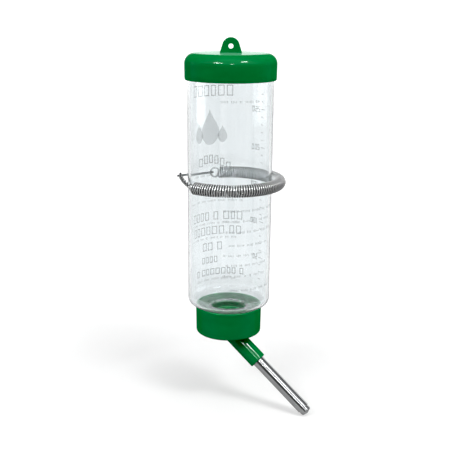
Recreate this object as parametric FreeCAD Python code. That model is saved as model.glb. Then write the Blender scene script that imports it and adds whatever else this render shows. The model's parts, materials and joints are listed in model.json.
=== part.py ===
import FreeCAD, Part
import math
import os

# Hanging water bottle for a rabbit hutch.
# Origin: centre of the hanging hole in the lid's lug. +Z is up along the bottle.
# All sizes are in millimetres.

V = FreeCAD.Vector
UP = V(0, 0, 1)
HERE = V(0, 0, 0)

# Lid and its hanging lug
HANG_HOLE_R = 1.6
LUG_TOP_R = 5.4
LUG_FOOT_HALF = 7.0
LUG_THICK = 3.0
LUG_FOOT_Z = -4.3
LID_R = 29.05
LID_TOP_Z = -4.2
LID_SHOULDER_R = 6.5
LID_BOTTOM_Z = -20.5
LID_CROWN = 0.25
LID_LINE_Z = -19.25
LID_LINE_R = 28.6
LID_BORE_R = 27.5
LID_CEILING_Z = -6.4
PLUG_R = 24.7
PLUG_BORE_R = 22.6
PLUG_LOW_Z = -17.0
SEAL_Z = -14.05
SEAL_RING_R = 24.45
SEAL_CORD_R = 1.05
SEAL_PLAY = 0.02

# Bottle
MOUTH_Z = -8.5
BOTTLE_TOP_R = 27.24
BOTTLE_LOW_R = 26.7
WALL = 1.7
WEB_CORNER_Z = -165.68
WEB_NECK_Z = -169.9
FUNNEL_CORNER_Z = -164.52
FUNNEL_LIP_Z = -168.1
NECK_ROOT_R = 12.5
NECK_BORE_R = 10.87
NECK_RIM_Z = -182.5

# Neck thread, right-handed
PITCH = 3.18
THREAD_HEIGHT = 1.2
THREAD_GAP = 0.25
NECK_THREAD_Z = -179.4
NECK_TURNS = 1.9
CAP_TURNS = 1.75

# Base cap
CAP_R = 21.6
CAP_LOW_R = 21.3
CAP_TOP_Z = -168.0
CAP_BOTTOM_Z = -186.1
CAP_FLOOR_Z = -184.1
CAP_SKIRT_BORE_R = 20.0
CAP_FOOT_ROUND = 1.5
WASHER_R = 13.6
FACE_GAP = 0.05
COLLAR_R = 15.9
COLLAR_TOP_Z = -170.6
SPIGOT_R = 10.6
SPIGOT_BORE_R = 9.3
SPIGOT_TOP_Z = -173.1
RIB_COUNT = 12
RIB_THICK = 1.2
RIB_TALL = 12.5
RIB_BITE = 0.4

# Spout: distances along its axis start at SPOUT_ROOT
SPOUT_ROOT = V(0, 0, -186)
SPOUT_LEAN = 50
SPOUT_TURN = 25
HOLDER_R = 5.7
HOLDER_END = 28.8
SOCKET_R = 3.89
SOCKET_START = 8.8
WATERWAY_R = 2.9
SLEEVE_R = 4.0
SLEEVE_ROOT_R = 3.84
SLEEVE_BORE_R = 3.55
SLEEVE_END = 71.5
TUBE_START = 10.3
TUBE_R = 3.5
TUBE_BORE_R = 3.1
TUBE_END = 74.8
LIP_R = 2.3
LIP_THICK = 0.5
BEAD_AT = 62.6
BEAD_DEPTH = 0.75
BALL_R = 2.78
FRONT_BALL_AT = 72.69
REAR_BALL_AT = 67.09

# Mounting spring round the bottle, and the two links that join its ends
SPRING_Z = -84.8
SPRING_RING_R = 31.9
COIL_R = 4.0
WIRE_R = 0.6
COIL_FRONT_ANGLE = 226
COIL_REAR_ANGLE = 463.6
FRONT_EYE_R = 1.9
FRONT_EYE_TILT = 20
REAR_EYE_R = 3.05
REAR_EYE_TILT = 90
LINK_WIRE_R = 0.65
LINK_SLACK = 0.2
LINK_CORNER = V(-32.6, 17.0, SPRING_Z)
FRONT_LINK_HALF = 2.1
REAR_LINK_HALF = 1.9
REAR_LINK_TILT = 15


def rounded_face(corners):
    """Flat face in the XZ plane; a corner is (x, z) or (x, z, radius of its rounding)."""
    ends = []
    for i in range(len(corners)):
        corner = V(corners[i][0], 0, corners[i][1])
        after = corners[(i + 1) % len(corners)]
        back = (V(corners[i - 1][0], 0, corners[i - 1][1]) - corner).normalize()
        ahead = (V(after[0], 0, after[1]) - corner).normalize()
        if len(corners[i]) == 2:
            ends.append((corner, None, corner))
            continue
        radius = corners[i][2]
        half = back.getAngle(ahead) / 2
        reach = radius / math.tan(half)
        inward = (back + ahead).normalize()
        middle = corner + inward * (radius / math.sin(half) - radius)
        ends.append((corner + back * reach, middle, corner + ahead * reach))
    edges = []
    for i in range(len(ends)):
        start, middle, end = ends[i]
        if middle:
            edges.append(Part.Arc(start, middle, end).toShape())
        following = ends[(i + 1) % len(ends)][0]
        edges.append(Part.makeLine(end, following))
    return Part.Face(Part.Wire(edges))


def turned(corners):
    """Solid of revolution about Z of a rounded (radius, z) outline."""
    return rounded_face(corners).revolve(HERE, UP, 360)


def helical_ridge(foot_r, crest_r, start_z, turns):
    """Trapezoid ridge wound on a right-handed helix, from foot_r to crest_r."""
    points = [V(foot_r, 0, -1.0), V(crest_r, 0, -0.45), V(crest_r, 0, 0.45), V(foot_r, 0, 1.0)]
    profile = Part.makePolygon(points + [points[0]])
    path = Part.makeHelix(PITCH, turns * PITCH, NECK_ROOT_R)
    ridge = Part.Wire(path).makePipeShell([profile], True, True)
    ridge.translate(V(0, 0, start_z))
    return ridge


def spout_axis():
    """Unit vector down the spout, away from the cap."""
    lean = math.radians(SPOUT_LEAN)
    turn = math.radians(SPOUT_TURN)
    return V(math.sin(lean) * math.cos(turn), -math.sin(lean) * math.sin(turn), -math.cos(lean))


def on_spout(shape):
    """Lay a shape built along +Z onto the spout's axis."""
    shape.Placement = FreeCAD.Placement(SPOUT_ROOT, FreeCAD.Rotation(UP, spout_axis()))
    return shape


def lug():
    """Flat hanging tab: a round head on a foot that widens towards the lid."""
    foot = V(LUG_FOOT_HALF, 0, LUG_FOOT_Z)
    swing = math.atan2(foot.z, foot.x) + math.acos(LUG_TOP_R / foot.Length)
    cheek_x = LUG_TOP_R * math.cos(swing)
    cheek_z = LUG_TOP_R * math.sin(swing)
    outline = [(-cheek_x, cheek_z), (cheek_x, cheek_z), (foot.x, foot.z), (foot.x, foot.z - 1),
               (-foot.x, foot.z - 1), (-foot.x, foot.z)]
    web = rounded_face(outline)
    web.translate(V(0, -LUG_THICK / 2, 0))
    head = Part.makeCylinder(LUG_TOP_R, LUG_THICK, V(0, -LUG_THICK / 2, 0), V(0, 1, 0))
    tab = head.fuse(web.extrude(V(0, LUG_THICK, 0))).removeSplitter()
    rims = [e for e in tab.Edges if abs(abs(e.CenterOfMass.y) - LUG_THICK / 2) < 0.01]
    rims = [e for e in rims if e.CenterOfMass.z > LUG_FOOT_Z]
    return tab.makeFillet(0.5, rims)


def lid():
    """Push-on lid with a plug ring that carries the seal, and the lug with its hole."""
    groove_top = SEAL_Z + SEAL_CORD_R + FACE_GAP
    groove_low = SEAL_Z - SEAL_CORD_R - FACE_GAP
    groove_r = SEAL_RING_R - SEAL_CORD_R - SEAL_PLAY
    shell = turned([
        (0, LID_TOP_Z + LID_CROWN), (LID_R, LID_TOP_Z, LID_SHOULDER_R),
        (LID_LINE_R + 0.25, LID_LINE_Z + 0.15), (LID_LINE_R, LID_LINE_Z),
        (LID_LINE_R + 0.15, LID_LINE_Z - 0.15),
        (LID_LINE_R + 0.1, LID_BOTTOM_Z, 0.5), (LID_BORE_R, LID_BOTTOM_Z, 0.3),
        (LID_BORE_R, MOUTH_Z + 0.1, 0.6), (PLUG_R, MOUTH_Z + 0.1),
        (PLUG_R, groove_top), (groove_r, groove_top), (groove_r, groove_low), (PLUG_R, groove_low),
        (PLUG_R, PLUG_LOW_Z, 0.5), (PLUG_BORE_R, PLUG_LOW_Z, 0.3),
        (PLUG_BORE_R, LID_CEILING_Z, 1.0), (0, LID_CEILING_Z)])
    whole = shell.fuse(lug()).removeSplitter()
    hole = Part.makeCylinder(HANG_HOLE_R, 10, V(0, -5, 0), V(0, 1, 0))
    return whole.cut(hole)


def lid_seal():
    """Round sealing ring in the groove of the lid's plug."""
    return Part.makeTorus(SEAL_RING_R, SEAL_CORD_R, V(0, 0, SEAL_Z), UP)


def bottle():
    """Clear bottle: drafted wall, funnel floor and a threaded neck at the bottom."""
    shell = turned([
        (BOTTLE_TOP_R, MOUTH_Z, 0.6), (BOTTLE_LOW_R, WEB_CORNER_Z, 5.03),
        (NECK_ROOT_R, WEB_NECK_Z, 1.2), (NECK_ROOT_R, NECK_RIM_Z, 0.5),
        (NECK_BORE_R, NECK_RIM_Z, 0.4), (NECK_BORE_R, FUNNEL_LIP_Z, 1.7),
        (BOTTLE_LOW_R - WALL, FUNNEL_CORNER_Z, 3.3), (BOTTLE_TOP_R - WALL, MOUTH_Z, 0.6)])
    thread = helical_ridge(NECK_ROOT_R - 0.2, NECK_ROOT_R + THREAD_HEIGHT, NECK_THREAD_Z, NECK_TURNS)
    return shell.fuse(thread)


def cap_washer():
    """Flat washer between the neck's rim and the floor of the base cap."""
    bore = SPIGOT_R + 0.15
    top = NECK_RIM_Z - FACE_GAP
    low = CAP_FLOOR_Z + FACE_GAP
    return turned([(bore, top), (WASHER_R, top), (WASHER_R, low), (bore, low)])


def cap_shell():
    """Turned body of the base cap: skirt, floor, threaded collar and spigot."""
    collar_bore = NECK_ROOT_R + THREAD_HEIGHT + THREAD_GAP
    return turned([
        (CAP_R, CAP_TOP_Z, 0.4), (CAP_LOW_R, CAP_BOTTOM_Z, CAP_FOOT_ROUND),
        (0, CAP_BOTTOM_Z), (0, CAP_FLOOR_Z),
        (SPIGOT_BORE_R, CAP_FLOOR_Z, 0.5), (SPIGOT_BORE_R, SPIGOT_TOP_Z, 0.3),
        (SPIGOT_R, SPIGOT_TOP_Z, 0.5), (SPIGOT_R, CAP_FLOOR_Z),
        (collar_bore, CAP_FLOOR_Z), (collar_bore, COLLAR_TOP_Z, 0.5),
        (COLLAR_R, COLLAR_TOP_Z, 0.4), (COLLAR_R, CAP_FLOOR_Z),
        (CAP_SKIRT_BORE_R, CAP_FLOOR_Z, 0.6), (CAP_SKIRT_BORE_R, CAP_TOP_Z, 0.4)])


def cap_ribs():
    """Radial stiffening ribs between the collar and the skirt."""
    ribs = []
    for i in range(RIB_COUNT):
        rib = Part.makeBox(CAP_SKIRT_BORE_R - COLLAR_R + 2 * RIB_BITE, RIB_THICK, RIB_TALL)
        rib.translate(V(COLLAR_R - RIB_BITE, -RIB_THICK / 2, CAP_FLOOR_Z - RIB_BITE))
        rib.rotate(HERE, UP, (i + 0.5) * 360 / RIB_COUNT)
        ribs.append(rib)
    return ribs


def base_cap():
    """Screw cap for the neck with the slanted socket that holds the spout."""
    holder = Part.makeSphere(HOLDER_R, SPOUT_ROOT)
    arm = rounded_face([(0, 0), (HOLDER_R, 0), (HOLDER_R, HOLDER_END, 0.6), (0, HOLDER_END)])
    holder = holder.fuse(on_spout(arm.revolve(HERE, UP, 360)))
    inside_cap = Part.makeCylinder(SPIGOT_BORE_R, 20, V(0, 0, CAP_FLOOR_Z))
    body = cap_shell().fuse([holder.cut(inside_cap)] + cap_ribs())
    waterway = Part.makeSphere(WATERWAY_R, SPOUT_ROOT)
    waterway = waterway.fuse(on_spout(Part.makeCylinder(WATERWAY_R, SOCKET_START + 1)))
    drop = Part.makeCylinder(WATERWAY_R, 4, SPOUT_ROOT)
    socket = on_spout(Part.makeCylinder(SOCKET_R, HOLDER_END, V(0, 0, SOCKET_START)))
    body = body.cut(waterway.fuse([drop, socket]))
    crest = NECK_ROOT_R + THREAD_GAP
    thread = helical_ridge(crest + 1.4, crest, NECK_THREAD_Z - PITCH / 2, CAP_TURNS)
    return body.fuse(thread)


def spout_seal():
    """Rubber ring at the bottom of the socket, under the tube's end."""
    return on_spout(turned([
        (WATERWAY_R + 0.1, SOCKET_START + FACE_GAP), (SOCKET_R - FACE_GAP, SOCKET_START + FACE_GAP),
        (SOCKET_R - FACE_GAP, TUBE_START - FACE_GAP), (WATERWAY_R + 0.1, TUBE_START - FACE_GAP)]))


def spout_sleeve():
    """Outer steel sleeve of the spout; its slightly thinner root plugs into the socket."""
    shoulder = HOLDER_END + 0.1
    return on_spout(turned([
        (SLEEVE_ROOT_R, TUBE_START), (SLEEVE_ROOT_R, shoulder), (SLEEVE_R, shoulder + 0.1),
        (SLEEVE_R, SLEEVE_END, 0.25),
        (SLEEVE_BORE_R, SLEEVE_END, 0.1), (SLEEVE_BORE_R, TUBE_START)]))


def spout_tube():
    """Inner steel tube: a rolled-in lip keeps the balls in, a rolled bead keeps them low."""
    wall = TUBE_R - TUBE_BORE_R
    bead_r = TUBE_R - BEAD_DEPTH
    lip_inside = TUBE_END - LIP_THICK
    return on_spout(turned([
        (TUBE_R, TUBE_START), (TUBE_R, BEAD_AT - 1.5, 0.5), (bead_r, BEAD_AT - 0.4, 0.4),
        (bead_r, BEAD_AT + 0.4, 0.4), (TUBE_R, BEAD_AT + 1.5, 0.5), (TUBE_R, TUBE_END, 1.15),
        (LIP_R, TUBE_END), (LIP_R, lip_inside), (TUBE_BORE_R, lip_inside, 0.75),
        (TUBE_BORE_R, BEAD_AT + 1.5, 0.5), (bead_r - wall, BEAD_AT + 0.4, 0.4),
        (bead_r - wall, BEAD_AT - 0.4, 0.4), (TUBE_BORE_R, BEAD_AT - 1.5, 0.5),
        (TUBE_BORE_R, TUBE_START)]))


def ball(at):
    """Steel ball in the spout, its centre at a distance along the axis."""
    return Part.makeSphere(BALL_R, SPOUT_ROOT + spout_axis() * at)


def half_link(middle, along, across, half, length):
    """Half of a wire link: two straight legs and the round end that joins them."""
    side = across * half
    bend = middle + along * length
    normal = along.cross(across)
    legs = [Part.makeCylinder(LINK_WIRE_R, length, middle + s, along) for s in (side, side * -1)]
    turn = Part.makeTorus(half, LINK_WIRE_R, bend, normal)
    keep = Part.makeBox(4 * half, 4 * half, 4 * half)
    keep.translate(V(0, -2 * half, -2 * half))
    turned_frame = FreeCAD.Placement(bend, FreeCAD.Rotation(along, across, normal, "XYZ"))
    keep.Placement = turned_frame.multiply(keep.Placement)
    return legs[0].fuse([legs[1], turn.common(keep)])


def wire_link(start, end, across, half):
    """Closed link of wire; start and end are the middles of its two round ends."""
    along = (end - start).normalize()
    middle = (start + end) * 0.5
    run = (end - start).Length / 2 - half
    one = half_link(middle, along, across, half, run)
    other = half_link(middle, along * -1, across, half, run)
    return one.fuse(other).removeSplitter()


def coil_end(angle_deg, side):
    """Middle of the coil's end, and the direction in which it points; side is +1 or -1."""
    angle = math.radians(angle_deg)
    middle = V(SPRING_RING_R * math.cos(angle), SPRING_RING_R * math.sin(angle), SPRING_Z)
    return middle, V(-side * math.sin(angle), side * math.cos(angle), 0)


def wire_eye(middle, outward, radius, tilt):
    """Round eye on a coil's end, with the short bar that carries it across the coil."""
    eye = Part.makeTorus(radius, WIRE_R, HERE, UP)
    eye.rotate(HERE, outward, tilt)
    eye.translate(middle + outward * radius)
    bar_way = outward.cross(UP) if tilt > 45 else UP
    span = COIL_R - WIRE_R
    bar = Part.makeCylinder(WIRE_R, 2 * span, middle - bar_way * span, bar_way)
    return [eye, bar]


def spring():
    """Close-wound coil bent round the bottle, as a tube, with a wire eye at each end."""
    sweep = COIL_REAR_ANGLE - COIL_FRONT_ANGLE
    level = V(0, 0, SPRING_Z)
    coil = Part.makeTorus(SPRING_RING_R, COIL_R, level, UP, 0, 360, sweep)
    coil = coil.cut(Part.makeTorus(SPRING_RING_R, COIL_R - 2 * WIRE_R, level, UP, 0, 360, sweep))
    coil.rotate(HERE, UP, COIL_FRONT_ANGLE)
    front, front_way = coil_end(COIL_FRONT_ANGLE, -1)
    rear, rear_way = coil_end(COIL_REAR_ANGLE, 1)
    eyes = wire_eye(front, front_way, FRONT_EYE_R, FRONT_EYE_TILT)
    eyes += wire_eye(rear, rear_way, REAR_EYE_R, REAR_EYE_TILT)
    return coil.fuse(eyes)


def hook_in(angle_deg, side, eye_r):
    """Middle of the inside of a coil's eye at its far end, and the way in which the coil points."""
    middle, outward = coil_end(angle_deg, side)
    return middle + outward * (2 * eye_r), outward


def front_link():
    """Upright wire link from the spring's front eye to the corner behind the bottle's side."""
    far_side, outward = hook_in(COIL_FRONT_ANGLE, -1, FRONT_EYE_R)
    start = far_side - outward * (WIRE_R + LINK_WIRE_R + LINK_SLACK)
    return wire_link(start, LINK_CORNER, UP, FRONT_LINK_HALF)


def rear_link():
    """Flatter wire link from the corner to the spring's rear eye."""
    far_side, outward = hook_in(COIL_REAR_ANGLE, 1, REAR_EYE_R)
    along = (LINK_CORNER - far_side).normalize()
    start = far_side - along * (WIRE_R + LINK_WIRE_R + LINK_SLACK)
    end = LINK_CORNER + along * (2 * LINK_WIRE_R + LINK_SLACK)
    tilt = math.radians(REAR_LINK_TILT)
    across = UP.cross(along) * math.cos(tilt) + UP * math.sin(tilt)
    return wire_link(start, end, across, REAR_LINK_HALF)


NODES = {
    "bottle": bottle,
    "lid": lid,
    "lid_seal": lid_seal,
    "cap_washer": cap_washer,
    "base_cap": base_cap,
    "spout_seal": spout_seal,
    "spout_sleeve": spout_sleeve,
    "spout_tube": spout_tube,
    "front_ball": lambda: ball(FRONT_BALL_AT),
    "rear_ball": lambda: ball(REAR_BALL_AT),
    "spring": spring,
    "front_link": front_link,
    "rear_link": rear_link,
}

os.makedirs("parts", exist_ok=True)
for node, build in NODES.items():
    shape = build()
    shape.exportStep("parts/" + node + ".step")
    print(node, shape.isValid(), len(shape.Solids), round(shape.Volume, 1), shape.BoundBox)
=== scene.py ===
import json
import math
import random

import bpy
from mathutils import Matrix, Vector


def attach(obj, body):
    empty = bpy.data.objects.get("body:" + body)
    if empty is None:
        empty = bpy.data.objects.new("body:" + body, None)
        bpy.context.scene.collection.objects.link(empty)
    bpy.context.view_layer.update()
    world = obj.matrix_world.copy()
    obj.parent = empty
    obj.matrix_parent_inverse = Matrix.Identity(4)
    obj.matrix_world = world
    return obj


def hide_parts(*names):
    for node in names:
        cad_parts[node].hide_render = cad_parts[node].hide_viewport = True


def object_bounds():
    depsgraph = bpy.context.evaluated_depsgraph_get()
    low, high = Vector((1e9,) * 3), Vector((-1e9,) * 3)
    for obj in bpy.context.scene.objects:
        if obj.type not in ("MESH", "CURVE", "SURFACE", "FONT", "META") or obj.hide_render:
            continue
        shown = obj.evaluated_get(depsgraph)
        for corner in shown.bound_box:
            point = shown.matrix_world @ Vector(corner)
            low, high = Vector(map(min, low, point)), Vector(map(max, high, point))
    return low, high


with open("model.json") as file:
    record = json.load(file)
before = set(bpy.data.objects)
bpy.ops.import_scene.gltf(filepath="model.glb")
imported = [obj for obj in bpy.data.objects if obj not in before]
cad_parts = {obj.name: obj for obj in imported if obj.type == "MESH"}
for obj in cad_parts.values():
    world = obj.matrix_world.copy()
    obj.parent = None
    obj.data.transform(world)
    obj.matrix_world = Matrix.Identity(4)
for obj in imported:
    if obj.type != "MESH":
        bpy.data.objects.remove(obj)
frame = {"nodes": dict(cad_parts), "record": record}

# A hanging water bottle for a rabbit hutch. Everything is in metres, in the frame of the CAD part:
# the origin is the centre of the hole in the lid's lug, +Z is up, and the viewer is at -Y.

MM = 0.001
UP = Vector((0, 0, 1))
CAD_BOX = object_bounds()
FLOOR_Z = CAD_BOX[0].z - 0.4 * MM

# The bottle as the CAD has it: radius and height at both ends of its wall, and its funnel floor's heights
WALL_TOP = (27.24 * MM, -8.5 * MM)
WALL_LOW = (26.70 * MM, -165.68 * MM)
WEB_TOP_Z = -163.0 * MM
WEB_LOW_Z = -169.8 * MM

# The mounting spring, as the CAD has it
SPRING_Z = -84.8 * MM
SPRING_RING_R = 31.9 * MM
COIL_MEAN_R = 3.4 * MM
WIRE_R = 0.6 * MM
COIL_FRONT_ANGLE = 226
COIL_REAR_ANGLE = 463.6
FRONT_EYE_R = 1.9 * MM
FRONT_EYE_TILT = 20
REAR_EYE_R = 3.05 * MM
REAR_EYE_TILT = 90

# The coil as it is drawn here: its turns lie a little apart, so that they stay visible from a distance
COIL_PITCH = 1.5 * MM
COIL_WIRE_R = 0.58 * MM

# The link at the front: a twisted pair of wires between two round ends
LINK_CORNER = Vector((-32.6 * MM, 17.0 * MM, SPRING_Z))
LINK_WIRE_R = 0.7 * MM
LINK_SLACK = 0.25 * MM
LINK_BOW = 1.0 * MM
LINK_LOOP_R = 1.6 * MM
LINK_LOOP_LENGTH = 2.2 * LINK_LOOP_R
LINK_TWISTS = 2.5

# How finely the wires are drawn: steps for each turn of the coil, steps along the link, sides of the wire
COIL_STEPS = 28
LINK_STEPS = 60
WIRE_SIDES = 12

# The spout's direction, down and away from the cap
LEAN = math.radians(50)
TURN = math.radians(25)
SPOUT_WAY = Vector((math.sin(LEAN) * math.cos(TURN), -math.sin(LEAN) * math.sin(TURN), -math.cos(LEAN)))

# The print: what the bottle holds sets where the scale's marks go
INK_LOW = 0.01 * MM
INK_HIGH = 0.04 * MM
FLOOR_OF_WATER_Z = -165.0 * MM
MM_PER_ML = 0.497
STROKE = 0.5 * MM
SMALL_PRINT = 1.3 * MM

# The sockets of Blender's Mix node that carry colours
MIX_A = 6
MIX_B = 7
MIX_OUT = 2


# ---------------------------------------------------------------- materials

def add(tree, kind, inputs=None, **settings):
    """New node with its attributes and the values of its inputs."""
    made = tree.nodes.new(kind)
    for key, value in settings.items():
        setattr(made, key, value)
    for key, value in (inputs or {}).items():
        made.inputs[key].default_value = value
    return made


def start(name):
    """New material: its node tree, its Principled shader, and its object coordinates."""
    material = bpy.data.materials.new(name)
    material.use_nodes = True
    tree = material.node_tree
    tree.nodes.clear()
    shader = add(tree, "ShaderNodeBsdfPrincipled")
    out = add(tree, "ShaderNodeOutputMaterial")
    tree.links.new(shader.outputs[0], out.inputs["Surface"])
    coords = add(tree, "ShaderNodeTexCoord").outputs["Object"]
    return material, tree, shader, coords


def placed(tree, coords, scale=(1, 1, 1), rotation=(0, 0, 0)):
    """Coordinates turned and then stretched."""
    turned = add(tree, "ShaderNodeMapping", {"Rotation": rotation})
    tree.links.new(coords, turned.inputs["Vector"])
    sized = add(tree, "ShaderNodeMapping", {"Scale": scale})
    tree.links.new(turned.outputs[0], sized.inputs["Vector"])
    return sized.outputs[0]


def cloud(tree, coords, scale, detail=2.0, rough=0.5):
    """Noise between 0 and 1."""
    made = add(tree, "ShaderNodeTexNoise", {"Scale": scale, "Detail": detail, "Roughness": rough})
    tree.links.new(coords, made.inputs["Vector"])
    return made.outputs["Fac"]


def shades(tree, factor, dark, light, low=0.3, high=0.7):
    """Colour between dark and light."""
    made = add(tree, "ShaderNodeValToRGB")
    made.color_ramp.elements[0].position = low
    made.color_ramp.elements[0].color = (*dark, 1)
    made.color_ramp.elements[1].position = high
    made.color_ramp.elements[1].color = (*light, 1)
    tree.links.new(factor, made.inputs["Fac"])
    return made.outputs["Color"]


def ranged(tree, value, start_at, end_at, first, last):
    """Number that goes from first to last while value goes from start_at to end_at."""
    made = add(tree, "ShaderNodeMapRange", {"From Min": start_at, "From Max": end_at,
                                            "To Min": first, "To Max": last})
    tree.links.new(value, made.inputs["Value"])
    return made.outputs["Result"]


def spread(tree, factor, low, high):
    """Number between low and high, from noise."""
    return ranged(tree, factor, 0.25, 0.75, low, high)


def maths(tree, operation, one, other):
    """Sum, product or maximum of two numbers."""
    made = add(tree, "ShaderNodeMath", operation=operation)
    tree.links.new(one, made.inputs[0])
    tree.links.new(other, made.inputs[1])
    return made.outputs[0]


def axes(tree, vector):
    """The X, Y and Z of a vector."""
    made = add(tree, "ShaderNodeSeparateXYZ")
    tree.links.new(vector, made.inputs[0])
    return made.outputs


def bumped(tree, height, depth, strength, under=None):
    """Normal with a relief that is depth deep, on top of another relief."""
    made = add(tree, "ShaderNodeBump", {"Strength": strength, "Distance": depth})
    tree.links.new(height, made.inputs["Height"])
    if under:
        tree.links.new(under, made.inputs["Normal"])
    return made.outputs["Normal"]


def green_plastic():
    """Glossy moulded plastic with flow marks, orange peel and scuffs; a painted sheen makes level faces look
    pale from low down.
    """
    material, tree, shader, coords = start("green_plastic")
    flow = cloud(tree, placed(tree, coords, (1, 1, 2.5)), 55, 3)
    body = shades(tree, flow, (0.0006, 0.205, 0.056), (0.0016, 0.240, 0.068))
    grazing = add(tree, "ShaderNodeLayerWeight", {"Blend": 0.5}).outputs["Facing"]
    # Painted sheen: level faces get a pale colour that grows as they are seen at a grazing angle, standing in
    # for a reflection.
    level = ranged(tree, axes(tree, coords.node.outputs["Normal"])["Z"], 0.95, 0.995, 0.0, 0.34)
    low_view = ranged(tree, grazing, 0.5, 0.9, 0.1, 1.0)
    painted_sheen = add(tree, "ShaderNodeMix", {MIX_B: (0.42, 0.80, 0.62, 1)}, data_type="RGBA")
    tree.links.new(maths(tree, "MULTIPLY", level, low_view), painted_sheen.inputs["Factor"])
    tree.links.new(body, painted_sheen.inputs[MIX_A])
    tree.links.new(painted_sheen.outputs[MIX_OUT], shader.inputs["Base Color"])
    scuff = cloud(tree, placed(tree, coords, (1, 1, 9), (0.5, 0.3, 0)), 260, 5, 0.62)
    tree.links.new(spread(tree, scuff, 0.06, 0.13), shader.inputs["Roughness"])
    peel = bumped(tree, cloud(tree, coords, 420, 2), 0.10 * MM, 0.10)
    grain = bumped(tree, cloud(tree, coords, 5200, 2), 0.01 * MM, 0.18, peel)
    tree.links.new(grain, shader.inputs["Normal"])
    sheen = ranged(tree, grazing, 0.28, 0.52, 0.44, 0.001)
    edge = ranged(tree, grazing, 0.88, 0.95, 0.0, 0.003)
    tree.links.new(maths(tree, "ADD", sheen, edge), shader.inputs["Specular IOR Level"])
    return material


def clear_plastic():
    """Blown clear plastic: draw streaks, a cool tint, a slightly cloudy funnel floor, and pale shadows that
    turn into a painted dark shadow at the neck.
    """
    material, tree, shader, coords = start("clear_plastic")
    streak = cloud(tree, placed(tree, coords, (1, 1, 0.03)), 330, 4, 0.6)
    tint = shades(tree, streak, (0.802, 0.829, 0.838), (0.867, 0.887, 0.894))
    tree.links.new(tint, shader.inputs["Base Color"])
    tree.links.new(spread(tree, streak, 0.03, 0.0), shader.inputs["Roughness"])
    wave = bumped(tree, cloud(tree, placed(tree, coords, (1, 1, 0.12)), 90, 2), 0.25 * MM, 0.10)
    tree.links.new(wave, shader.inputs["Normal"])
    height = axes(tree, coords)["Z"]
    web = ranged(tree, height, WEB_TOP_Z, WEB_TOP_Z - 4 * MM, 0.995, 0.90)
    neck = ranged(tree, height, WEB_LOW_Z, WEB_LOW_Z - 1 * MM, 0.0, 0.10)
    tree.links.new(maths(tree, "ADD", web, neck), shader.inputs["Transmission Weight"])
    shader.inputs["IOR"].default_value = 1.46
    clear = add(tree, "ShaderNodeBsdfTransparent")
    # Painted shadow: shadow rays keep most of their light through the walls but lose most of it from the
    # funnel floor down through the neck, which darkens the cap's hollow below.
    tree.links.new(ranged(tree, height, WEB_TOP_Z - 3 * MM, WEB_LOW_Z, 0.82, 0.12), clear.inputs["Color"])
    mix = add(tree, "ShaderNodeMixShader")
    tree.links.new(add(tree, "ShaderNodeLightPath").outputs["Is Shadow Ray"], mix.inputs["Fac"])
    tree.links.new(shader.outputs[0], mix.inputs[1])
    tree.links.new(clear.outputs[0], mix.inputs[2])
    out = next(n for n in tree.nodes if n.type == "OUTPUT_MATERIAL")
    tree.links.new(mix.outputs[0], out.inputs["Surface"])
    return material


def polished_steel():
    """Drawn steel tube: fine lines along the spout and a few faint smudges."""
    material, tree, shader, coords = start("polished_steel")
    turn = SPOUT_WAY.rotation_difference(UP).to_euler()
    along = placed(tree, coords, (1, 1, 0.02), tuple(turn))
    line = cloud(tree, along, 3000, 3, 0.65)
    smudge = cloud(tree, coords, 190, 3)
    colour = shades(tree, smudge, (0.66, 0.665, 0.67), (0.76, 0.765, 0.77))
    tree.links.new(colour, shader.inputs["Base Color"])
    tree.links.new(spread(tree, line, 0.06, 0.10), shader.inputs["Roughness"])
    tree.links.new(bumped(tree, line, 0.01 * MM, 0.03), shader.inputs["Normal"])
    shader.inputs["Metallic"].default_value = 1.0
    return material


def with_groove_dirt(tree, coords, colour):
    """Colour with painted shade, nearly black, where the wire's surface turns towards the neighbouring turns
    of the coil.
    """
    round_way = add(tree, "ShaderNodeVectorMath", {0: tuple(UP)}, operation="CROSS_PRODUCT")
    tree.links.new(coords, round_way.inputs[1])
    unit = add(tree, "ShaderNodeVectorMath", operation="NORMALIZE")
    tree.links.new(round_way.outputs[0], unit.inputs[0])
    facing = add(tree, "ShaderNodeVectorMath", operation="DOT_PRODUCT")
    tree.links.new(unit.outputs[0], facing.inputs[0])
    tree.links.new(coords.node.outputs["Normal"], facing.inputs[1])
    depth = add(tree, "ShaderNodeMath", operation="ABSOLUTE")
    tree.links.new(facing.outputs["Value"], depth.inputs[0])
    # Painted shade: the colour turns nearly black in the grooves between neighbouring turns.
    turn_gap_shade = shades(tree, depth.outputs[0], (1, 1, 1), (0.02, 0.02, 0.02), 0.4, 0.8)
    both = add(tree, "ShaderNodeMix", {"Factor": 1.0}, data_type="RGBA", blend_type="MULTIPLY")
    tree.links.new(colour, both.inputs[MIX_A])
    tree.links.new(turn_gap_shade, both.inputs[MIX_B])
    return both.outputs[MIX_OUT]


def wire_steel(name, dark, light, wound):
    """Plated wire with dull patches; wound wire is duller, with painted shade between the turns of the coil.
    """
    material, tree, shader, coords = start(name)
    patch = cloud(tree, coords, 700, 4, 0.6)
    colour = shades(tree, patch, dark, light)
    if wound:
        colour = with_groove_dirt(tree, coords, colour)
    tree.links.new(colour, shader.inputs["Base Color"])
    tree.links.new(spread(tree, patch, 0.26, 0.14), shader.inputs["Roughness"])
    tree.links.new(bumped(tree, cloud(tree, coords, 4000, 2), 0.01 * MM, 0.3), shader.inputs["Normal"])
    shader.inputs["Metallic"].default_value = 0.55 if wound else 1.0
    return material


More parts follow.
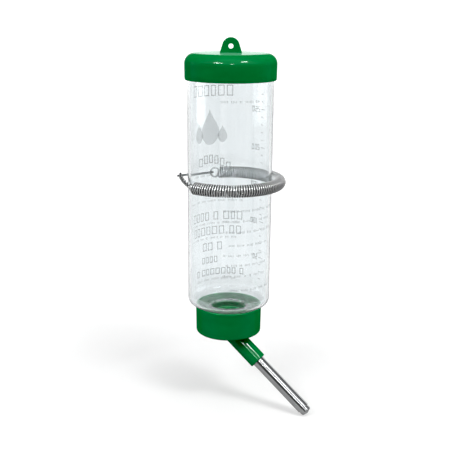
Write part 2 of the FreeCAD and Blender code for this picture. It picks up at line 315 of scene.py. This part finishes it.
def seal_rubber():
    """Pale moulded rubber with a fine matt grain."""
    material, tree, shader, coords = start("seal_rubber")
    patch = cloud(tree, coords, 160, 3)
    tree.links.new(shades(tree, patch, (0.60, 0.61, 0.60), (0.72, 0.73, 0.71)), shader.inputs["Base Color"])
    grain = cloud(tree, coords, 2600, 3)
    tree.links.new(spread(tree, grain, 0.48, 0.66), shader.inputs["Roughness"])
    tree.links.new(bumped(tree, grain, 0.03 * MM, 0.35), shader.inputs["Normal"])
    return material


def ink(name, opacity):
    """Thin grey printing ink, uneven where the screen left less of it."""
    material, tree, shader, coords = start(name)
    patch = cloud(tree, coords, 900, 4, 0.65)
    tree.links.new(shades(tree, patch, (0.13, 0.15, 0.16), (0.24, 0.26, 0.27)), shader.inputs["Base Color"])
    tree.links.new(spread(tree, patch, 0.4, 0.6), shader.inputs["Roughness"])
    shader.inputs["Alpha"].default_value = opacity
    return material


# ---------------------------------------------------------------- meshes

def mesh_object(name, points, faces, material):
    """New smooth-shaded mesh object."""
    mesh = bpy.data.meshes.new(name)
    mesh.from_pydata(points, [], faces)
    mesh.validate()
    mesh.materials.append(material)
    mesh.polygons.foreach_set("use_smooth", [True] * len(mesh.polygons))
    made = bpy.data.objects.new(name, mesh)
    bpy.context.scene.collection.objects.link(made)
    return made


def sweep(path, radius, sides):
    """Points and faces of a round wire along a path, with closed ends."""
    points, faces = [], []
    ahead = (path[1] - path[0]).normalized()
    side = ahead.orthogonal().normalized()
    for i in range(len(path)):
        back_point = path[max(i - 1, 0)]
        next_point = path[min(i + 1, len(path) - 1)]
        turned = (next_point - back_point).normalized()
        side = ahead.rotation_difference(turned) @ side
        ahead = turned
        side = (side - ahead * side.dot(ahead)).normalized()
        other = ahead.cross(side)
        for k in range(sides):
            a = 2 * math.pi * k / sides
            points.append(path[i] + (side * math.cos(a) + other * math.sin(a)) * radius)
    for i in range(len(path) - 1):
        for k in range(sides):
            n = (k + 1) % sides
            faces.append((i * sides + k, i * sides + n, (i + 1) * sides + n, (i + 1) * sides + k))
    faces.append(tuple(reversed(range(sides))))
    faces.append(tuple(range((len(path) - 1) * sides, len(path) * sides)))
    return points, faces


def smooth_path(knots, steps):
    """Catmull-Rom curve through the knots."""
    path = []
    for i in range(len(knots) - 1):
        a, b, c, d = (knots[min(max(i + k, 0), len(knots) - 1)] for k in (-1, 0, 1, 2))
        for s in range(steps):
            t = s / steps
            path.append(0.5 * ((2 * b) + (c - a) * t + (2 * a - 5 * b + 4 * c - d) * t * t
                               + (3 * b - a - 3 * c + d) * t ** 3))
    path.append(knots[-1])
    return path


def coil_end(angle_deg, side):
    """Middle of the coil's end, and the way in which the coil points there."""
    angle = math.radians(angle_deg)
    middle = Vector((SPRING_RING_R * math.cos(angle), SPRING_RING_R * math.sin(angle), SPRING_Z))
    return middle, Vector((-side * math.sin(angle), side * math.cos(angle), 0))


def eye_knots(middle, outward, radius, tilt_deg):
    """Knots of the wire that leaves the coil's edge, goes round the eye and ends at the coil's middle."""
    across = Matrix.Rotation(math.radians(tilt_deg), 3, outward) @ outward.cross(UP)
    centre = middle + outward * radius
    steps = 12
    knots = [middle + across * (COIL_MEAN_R * 0.62) + outward * WIRE_R]
    for k in range(1, steps):
        a = 2 * math.pi * k / steps
        knots.append(centre - outward * (radius * math.cos(a)) - across * (radius * math.sin(a)))
    knots.append(middle + across * (WIRE_R * 1.2) + outward * (WIRE_R * 0.9))
    return knots, across


def coil_point(angle, phase):
    """Point on the wound wire; phase 0 is outwards from the bottle."""
    out = Vector((math.cos(angle), math.sin(angle), 0))
    return out * SPRING_RING_R + UP * SPRING_Z + (out * math.cos(phase) + UP * math.sin(phase)) * COIL_MEAN_R


def coil_phase(angle_deg, across):
    """Phase of the coil that lies in the direction of across at that angle."""
    out = Vector((math.cos(math.radians(angle_deg)), math.sin(math.radians(angle_deg)), 0))
    return math.atan2(across.dot(UP), across.dot(out))


def spring_wire(material):
    """The whole mounting spring from one wire: an eye, the coil and the other eye."""
    front, front_way = coil_end(COIL_FRONT_ANGLE, -1)
    rear, rear_way = coil_end(COIL_REAR_ANGLE, 1)
    front_knots, front_across = eye_knots(front, front_way, FRONT_EYE_R, FRONT_EYE_TILT)
    rear_knots, rear_across = eye_knots(rear, rear_way, REAR_EYE_R, REAR_EYE_TILT)
    start_angle = math.radians(COIL_FRONT_ANGLE)
    sweep_angle = math.radians(COIL_REAR_ANGLE - COIL_FRONT_ANGLE)
    first = coil_phase(COIL_FRONT_ANGLE, front_across)
    last = coil_phase(COIL_REAR_ANGLE, rear_across)
    turns = round(SPRING_RING_R * sweep_angle / COIL_PITCH)
    total = 2 * math.pi * turns + (last - first)
    count = turns * COIL_STEPS
    inset = WIRE_R / SPRING_RING_R
    coil = []
    for i in range(count + 1):
        t = i / count
        angle = start_angle + inset + (sweep_angle - 2 * inset) * t
        coil.append(coil_point(angle, first + total * t))
    path = smooth_path(list(reversed(front_knots)) + [coil[0]], 6)[:-1]
    path += coil
    path += smooth_path([coil[-1]] + rear_knots, 6)[1:]
    points, faces = sweep(path, COIL_WIRE_R, WIRE_SIDES)
    return mesh_object("spring_wire", points, faces, material)


def link_opening(near):
    """How far a strand of the link lies from its middle line, at a distance from the nearer end."""
    strand_r = LINK_WIRE_R * 1.04
    if near >= LINK_LOOP_LENGTH:
        return strand_r
    t = near / LINK_LOOP_LENGTH
    if t <= 0.5:
        return LINK_LOOP_R * math.sqrt(max(1 - (2 * t - 1) ** 2, 0))
    fall = (t - 0.5) * 2
    return LINK_LOOP_R + (strand_r - LINK_LOOP_R) * (3 * fall ** 2 - 2 * fall ** 3)


def link_strand(begin, side):
    """One strand of the link from its start to the corner; side is 1 or -1."""
    along = (LINK_CORNER - begin).normalized()
    across = along.cross(UP).cross(along).normalized()
    away = UP.cross(along).normalized()
    length = (LINK_CORNER - begin).length
    twisted = length - 2 * LINK_LOOP_LENGTH
    strand = []
    for i in range(LINK_STEPS + 1):
        reach = length * i / LINK_STEPS
        twist = 2 * math.pi * LINK_TWISTS * min(max((reach - LINK_LOOP_LENGTH) / twisted, 0), 1)
        way = Matrix.Rotation(twist, 3, along) @ across
        bow = away * (LINK_BOW * math.sin(math.pi * reach / length))
        open_r = link_opening(min(reach, length - reach))
        strand.append(begin + along * reach + bow + way * (side * open_r))
    return strand


def front_link(material):
    """Wire link from the front eye to the corner: round ends and a twisted pair that clears the wall."""
    middle, outward = coil_end(COIL_FRONT_ANGLE, -1)
    begin = middle + outward * (2 * FRONT_EYE_R - WIRE_R - LINK_WIRE_R - LINK_SLACK)
    there = link_strand(begin, 1)
    back = link_strand(begin, -1)
    half = LINK_STEPS // 2
    path = there[half:] + list(reversed(back))[1:] + there[1:half + 1]
    points, faces = sweep(smooth_path(path, 4), LINK_WIRE_R, WIRE_SIDES)
    return mesh_object("front_link_wire", points, faces, material)


# ---------------------------------------------------------------- print on the wall

def wall_radius(z):
    """Outside radius of the bottle's wall at a height."""
    share = (z - WALL_TOP[1]) / (WALL_LOW[1] - WALL_TOP[1])
    return WALL_TOP[0] + (WALL_LOW[0] - WALL_TOP[0]) * share


class Print:
    """Patches of ink on the bottle's wall, each a thin closed shell, gathered into one mesh."""

    def __init__(self):
        self.points = []
        self.faces = []

    def patch(self, rows):
        """Ink between a left and a right angle (radians) at each height; rows are (z, left, right)."""
        widest = max(right - left for z, left, right in rows)
        columns = max(1, math.ceil(widest / math.radians(4)))
        base = len(self.points)
        count = len(rows) * (columns + 1)
        for lift in (INK_HIGH, INK_LOW):
            for z, left, right in rows:
                for c in range(columns + 1):
                    a = left + (right - left) * c / columns
                    r = wall_radius(z) + lift
                    self.points.append((r * math.cos(a), r * math.sin(a), z))
        grid = [[base + i * (columns + 1) + c for c in range(columns + 1)] for i in range(len(rows))]
        for i in range(len(rows) - 1):
            for c in range(columns):
                top = (grid[i][c], grid[i + 1][c], grid[i + 1][c + 1], grid[i][c + 1])
                self.faces.append(top)
                self.faces.append(tuple(p + count for p in reversed(top)))
        rim = grid[0] + [row[-1] for row in grid[1:]] + grid[-1][-2::-1] + [row[0] for row in grid[-2:0:-1]]
        for p, q in zip(rim, rim[1:] + rim[:1]):
            self.faces.append((p, q, q + count, p + count))

    def bar(self, angle, z, width, height):
        """Level bar whose middle is at an angle in degrees and a height; its size is in metres."""
        half = width / 2 / wall_radius(z)
        a = math.radians(angle)
        self.patch([(z + height / 2, a - half, a + half), (z - height / 2, a - half, a + half)])

    def box_sign(self, angle, z, width, height, stroke):
        """Hollow box that stands in for a printed character."""
        shift = math.degrees((width - stroke) / 2 / wall_radius(z))
        for side in (-1, 1):
            self.bar(angle + side * shift, z, stroke, height)
            self.bar(angle, z + side * (height - stroke) / 2, width - 2 * stroke, stroke)

    def object(self, name, material):
        """The gathered patches as a mesh object."""
        return mesh_object(name, self.points, self.faces, material)


def sign_line(sheet, rng, left, right, z, height, arch=0.0):
    """Row of hollow boxes with word gaps: a stand-in for a line of large print."""
    angle = left
    while angle < right:
        width = height * rng.uniform(0.5, 0.72)
        step = math.degrees(width / wall_radius(z))
        if angle + step > right:
            break
        t = (angle + step / 2 - left) / (right - left) * 2 - 1
        rise = arch * (1 - t * t)
        sheet.box_sign(angle + step / 2, z + rise, width, height, STROKE)
        gap = height * (0.7 if rng.random() < 0.14 else 0.24)
        angle += step + math.degrees(gap / wall_radius(z))


def small_line(sheet, rng, left, right, z):
    """Words of short upright strokes: a stand-in for a line of small print."""
    step = math.degrees(0.95 * MM / wall_radius(z))
    angle = left
    while angle < right:
        for _ in range(rng.randint(2, 7)):
            tall = SMALL_PRINT * rng.uniform(0.75, 1.25)
            sheet.bar(angle, z, rng.uniform(0.4, 0.65) * MM, tall)
            angle += step
        angle += 1.6 * step


def drop(sheet, angle, top_z, width, height):
    """Filled water drop: a point at the top and a round belly."""
    rows = []
    steps = 24
    a = math.radians(angle)
    for i in range(1, steps):
        t = i / steps
        half = width / 2 * math.sin(math.pi * t) ** 0.8 * t ** 0.75 * 1.45
        z = top_z - height * t
        turn = half / wall_radius(z)
        rows.append((z, a - turn, a + turn))
    sheet.patch(rows)


# Strokes of a figure: a, g and d lie level, from top to bottom; f and e stand at its left, b and c at its
# right, the upper one first
SEGMENTS = {"0": "abcdef", "1": "bc", "2": "abdeg", "5": "acdfg"}


def digit(sheet, figure, angle, z, height):
    """Figure made of straight strokes; seen from outside, its right side has the larger angle."""
    width = height * 0.5
    stroke = height * 0.13
    shift = math.degrees((width - stroke) / 2 / wall_radius(z))
    for name in SEGMENTS[figure]:
        if name in "adg":
            level = {"a": 1, "g": 0, "d": -1}[name] * (height - stroke) / 2
            sheet.bar(angle, z + level, width, stroke)
        else:
            side = 1 if name in "bc" else -1
            rise = 1 if name in "bf" else -1
            sheet.bar(angle + side * shift, z + rise * height / 4, stroke, height / 2)


def scale_marks(sheet, angle):
    """A mark every 10 ml, and a longer one with its figures every 50 ml."""
    for volume in range(20, 271, 10):
        z = FLOOR_OF_WATER_Z + volume * MM_PER_ML * MM
        long = volume % 50 == 0
        width = (5.0 if long else 2.6) * MM
        sheet.bar(angle - math.degrees(width / 2 / wall_radius(z)), z, width, 0.4 * MM)
        if long:
            for i, figure in enumerate(str(volume)):
                digit(sheet, figure, angle + 5 + i * 5.4, z, 3.6 * MM)


def bottle_print(material, faint, pale):
    """All the grey print: a scale, boxes and short strokes instead of lettering, and drops as the picture."""
    rng = random.Random(12)
    sheet = Print()
    small = Print()
    sign_line(sheet, rng, 86, 158, -29.5 * MM, 7.0 * MM)
    sign_line(sheet, rng, 89, 153, -81.0 * MM, 5.5 * MM, arch=6.5 * MM)
    for z, left, right, height in (
            (-113.5, 70, 164, 5.6), (-123.6, 72, 164, 5.6), (-134.8, 101, 141, 5.4),
            (-144.2, 108, 139, 4.4), (-152.8, 67, 155, 4.4)):
        sign_line(sheet, rng, left, right, z * MM, height * MM)
    for z, left, right in (
            (-85.5, 97, 148), (-103.0, 70, 163), (-118.6, 75, 160), (-128.8, 80, 158), (-158.2, 80, 150),
            (-31.5, 258, 312), (-98.5, 262, 338), (-105.0, 262, 330), (-112.0, 264, 336), (-120.5, 270, 332),
            (-127.0, 262, 318), (-133.5, 266, 330), (-140.5, 262, 326), (-150.0, 270, 334)):
        small_line(small, rng, left, right, z * MM)
    scale_marks(sheet, 38)
    lines = sheet.object("print_lines", material)
    picture = Print()
    drop(picture, 121, -41 * MM, 15 * MM, 25 * MM)
    drop(picture, 142, -50 * MM, 8 * MM, 14 * MM)
    drop(picture, 101, -52 * MM, 7 * MM, 12 * MM)
    return [lines, small.object("print_small_lines", faint), picture.object("print_picture", pale)]


# ---------------------------------------------------------------- stage

def floor_outline():
    """Radius and height of the floor from near its middle outwards: flat, then a bend up, then a low wall."""
    flat, bend, wall = 2.6, 0.9, 0.5
    flat_steps, bend_steps = 12, 16
    outline = [(flat * (k / flat_steps) ** 2, FLOOR_Z) for k in range(1, flat_steps + 1)]
    for k in range(1, bend_steps + 1):
        a = math.pi / 2 * k / bend_steps
        outline.append((flat + bend * math.sin(a), FLOOR_Z + bend * (1 - math.cos(a))))
    outline.append((flat + bend, FLOOR_Z + bend + wall))
    return outline


def hidden_glow(tree, reach, parts):
    """Glow that only reflections and bounced light meet: more behind and at the rim, less at the right."""
    behind = ranged(tree, parts["Y"], 0.0, 2.4, 0.08, 1.3)
    rim = ranged(tree, reach, 1.6, 2.6, 0.45, 1.0)
    right = ranged(tree, parts["X"], 0.5, 1.5, 1.0, 0.45)
    return maths(tree, "MULTIPLY", maths(tree, "MULTIPLY", behind, rim), right)


def seen_glow(tree, reach):
    """Glow that the viewer meets: the floor fades to white away from the shadow."""
    near = ranged(tree, reach, 0.26, 0.40, 0.48, 0.86)
    far = ranged(tree, reach, 0.6, 1.6, 0.0, 0.16)
    return maths(tree, "ADD", near, far)


def floor_paper():
    """White studio paper; the viewer sees one glow, and reflections and bounced light get another."""
    material, tree, shader, coords = start("studio_floor")
    shader.inputs["Roughness"].default_value = 0.9
    shader.inputs["Specular IOR Level"].default_value = 0.1
    shader.inputs["Emission Color"].default_value = (1, 1, 1, 1)
    distance = add(tree, "ShaderNodeVectorMath", operation="LENGTH")
    tree.links.new(coords, distance.inputs[0])
    reach = distance.outputs["Value"]
    parts = axes(tree, coords)
    path = add(tree, "ShaderNodeLightPath").outputs
    seen = maths(tree, "MAXIMUM", path["Is Camera Ray"], path["Is Transmission Ray"])
    # Painted shade: for reflections and bounced light the paper is darker in front of the bottle; the viewer
    # sees it evenly pale.
    front = ranged(tree, parts["Y"], -0.22, -0.10, 0.14, 0.75)
    colour = add(tree, "ShaderNodeVectorMath", operation="MULTIPLY")
    paper = shades(tree, cloud(tree, coords, 3, 3), (0.47, 0.47, 0.47), (0.49, 0.49, 0.49))
    tree.links.new(paper, colour.inputs[0])
    tree.links.new(maths(tree, "MAXIMUM", seen, front), colour.inputs[1])
    tree.links.new(colour.outputs[0], shader.inputs["Base Color"])
    glow = add(tree, "ShaderNodeMix", data_type="FLOAT")
    tree.links.new(seen, glow.inputs["Factor"])
    tree.links.new(hidden_glow(tree, reach, parts), glow.inputs["A"])
    tree.links.new(seen_glow(tree, reach), glow.inputs["B"])
    tree.links.new(glow.outputs["Result"], shader.inputs["Emission Strength"])
    return material


def studio_floor():
    """Round white studio floor whose edge curves up on all sides."""
    outline = floor_outline()
    spokes = 96
    points = [(0, 0, FLOOR_Z)]
    faces = []
    for r, z in outline:
        for s in range(spokes):
            a = 2 * math.pi * s / spokes
            points.append((r * math.cos(a), r * math.sin(a), z))
    for s in range(spokes):
        n = (s + 1) % spokes
        faces.append((0, 1 + s, 1 + n))
        for ring in range(len(outline) - 1):
            a = 1 + ring * spokes
            b = a + spokes
            faces.append((a + s, b + s, b + n, a + n))
    floor = mesh_object("studio_floor", points, faces, floor_paper())


def softbox(name, azimuth, elevation, distance, size, watts, mirrored=True):
    """Rectangular softbox aimed at the bottle, azimuth 0 being the viewer's side and positive to the right.

    One that isn't mirrored lights the object but doesn't show in its reflections.
    """
    a, e = math.radians(azimuth), math.radians(elevation)
    target = Vector((0, 0, -60 * MM))
    way = Vector((math.sin(a) * math.cos(e), -math.cos(a) * math.cos(e), math.sin(e)))
    data = bpy.data.lights.new(name, "AREA")
    data.shape = "RECTANGLE"
    data.size, data.size_y = size
    data.energy = watts
    lamp = bpy.data.objects.new(name, data)
    lamp.rotation_mode = "QUATERNION"
    lamp.rotation_quaternion = (-way).to_track_quat("-Z", "Y")
    lamp.location = target + way * distance
    lamp.visible_glossy = mirrored
    bpy.context.scene.collection.objects.link(lamp)


def studio_world():
    """Dim room above the floor's rim, with pale walls that only reflections show."""
    world = bpy.data.worlds.new("studio")
    world.use_nodes = True
    bpy.context.scene.world = world
    tree = world.node_tree
    tree.nodes.clear()
    way = add(tree, "ShaderNodeTexCoord").outputs["Generated"]
    walls = ranged(tree, axes(tree, way)["Y"], -0.35, 0.1, 0.75, 0.2)
    strength = add(tree, "ShaderNodeMapRange", {"To Min": 0.06})
    tree.links.new(add(tree, "ShaderNodeLightPath").outputs["Is Glossy Ray"], strength.inputs["Value"])
    tree.links.new(walls, strength.inputs["To Max"])
    back = add(tree, "ShaderNodeBackground", {"Color": (0.96, 0.98, 1.0, 1)})
    tree.links.new(strength.outputs["Result"], back.inputs["Strength"])
    out = add(tree, "ShaderNodeOutputWorld")
    tree.links.new(back.outputs[0], out.inputs["Surface"])


def camera():
    """Camera in front, a little above the bottle's top, that looks slightly down."""
    data = bpy.data.cameras.new("camera")
    data.lens = 68.8
    data.sensor_width = 36
    data.clip_start = 0.01
    data.clip_end = 50
    made = bpy.data.objects.new("camera", data)
    tilt = Matrix.Rotation(math.radians(75.55), 4, "X") @ Matrix.Rotation(math.radians(0.45), 4, "Z")
    made.matrix_world = Matrix.Translation((-2.8 * MM, -540.8 * MM, 25.4 * MM)) @ tilt
    bpy.context.scene.collection.objects.link(made)
    bpy.context.scene.camera = made


# ---------------------------------------------------------------- the scene

MATERIALS = {
    "clear_plastic": clear_plastic(),
    "green_plastic": green_plastic(),
    "seal_rubber": seal_rubber(),
    "polished_steel": polished_steel(),
    "spring_steel": wire_steel("link_steel", (0.30, 0.31, 0.31), (0.52, 0.53, 0.53), False),
}

for subpart in frame["record"]["subparts"]:
    node = frame["nodes"][subpart["node"]]
    for slot in node.material_slots:
        slot.material = MATERIALS[subpart["material_slot"]]

coil = spring_wire(wire_steel("coil_steel", (0.84, 0.85, 0.85), (0.96, 0.97, 0.97), True))
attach(coil, "mounting_spring")
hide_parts("spring")

link = front_link(MATERIALS["spring_steel"])
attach(link, "mounting_spring")
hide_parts("front_link")

for piece in bottle_print(ink("print_ink", 0.36), ink("faint_ink", 0.16), ink("pale_ink", 0.17)):
    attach(piece, "bottle")

camera()
studio_floor()
studio_world()
softbox("right_softbox", 41, 46.5, 1.15, (0.28, 0.07), 3.9)
softbox("right_lamp", 46, 39.5, 1.15, (0.10, 0.13), 0.17)
softbox("left_softbox", -35, 33, 1.15, (0.42, 0.08), 5.0)
softbox("front_softbox", 2.5, 26.5, 1.15, (0.07, 0.07), 0.85)
softbox("front_lamp", 7, 21, 1.15, (0.06, 0.12), 0.10)
softbox("key_softbox", 44, 52, 1.2, (0.5, 0.5), 5.2, False)
softbox("top_softbox", 0, 82, 1.2, (0.9, 0.9), 4.2, False)
softbox("left_fill", -88, 10, 1.3, (0.9, 0.9), 5.8, False)
softbox("right_fill", 98, 8, 1.3, (0.9, 0.9), 6.4, False)
view = bpy.context.scene.view_settings
view.view_transform = "Standard"
view.gamma = 0.88
view.use_curve_mapping = True
view.curve_mapping.black_level = (0.022, 0.022, 0.022)
view.curve_mapping.update()
